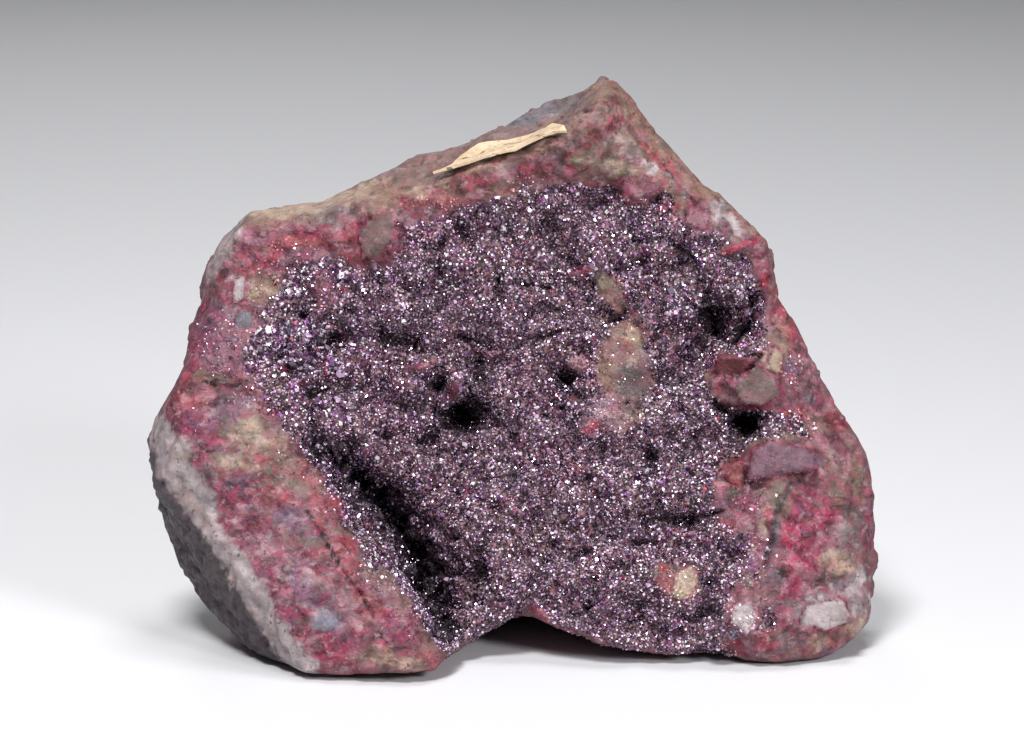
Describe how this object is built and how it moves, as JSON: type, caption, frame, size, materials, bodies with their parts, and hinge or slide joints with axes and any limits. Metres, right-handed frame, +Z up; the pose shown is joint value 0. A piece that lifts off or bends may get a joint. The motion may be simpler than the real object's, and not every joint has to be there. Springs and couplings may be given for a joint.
{
  "type": "cinnabar crystals on matrix",
  "caption": "Broken block of red and pink breccia, its open hollow lined with a crust of small dark cinnabar crystals, with a bare paper label on top.",
  "frame": {"origin": "middle of the specimen's footprint, on the surface it stands on", "axes": "+Z up, +X along the broken face to the right as the front is seen, +Y into the stone, away from the crystals"},
  "size_m": [0.0888, 0.0526, 0.0666],
  "materials": {
    "breccia": "rough, broken",
    "cinnabar": "bright, adamantine facets",
    "paper": "aged, matte"
  },
  "bodies": {
    "root": {"matrix": "breccia", "cinnabar_crust": "cinnabar", "paper_label": "paper"}
  },
  "joints": []
}
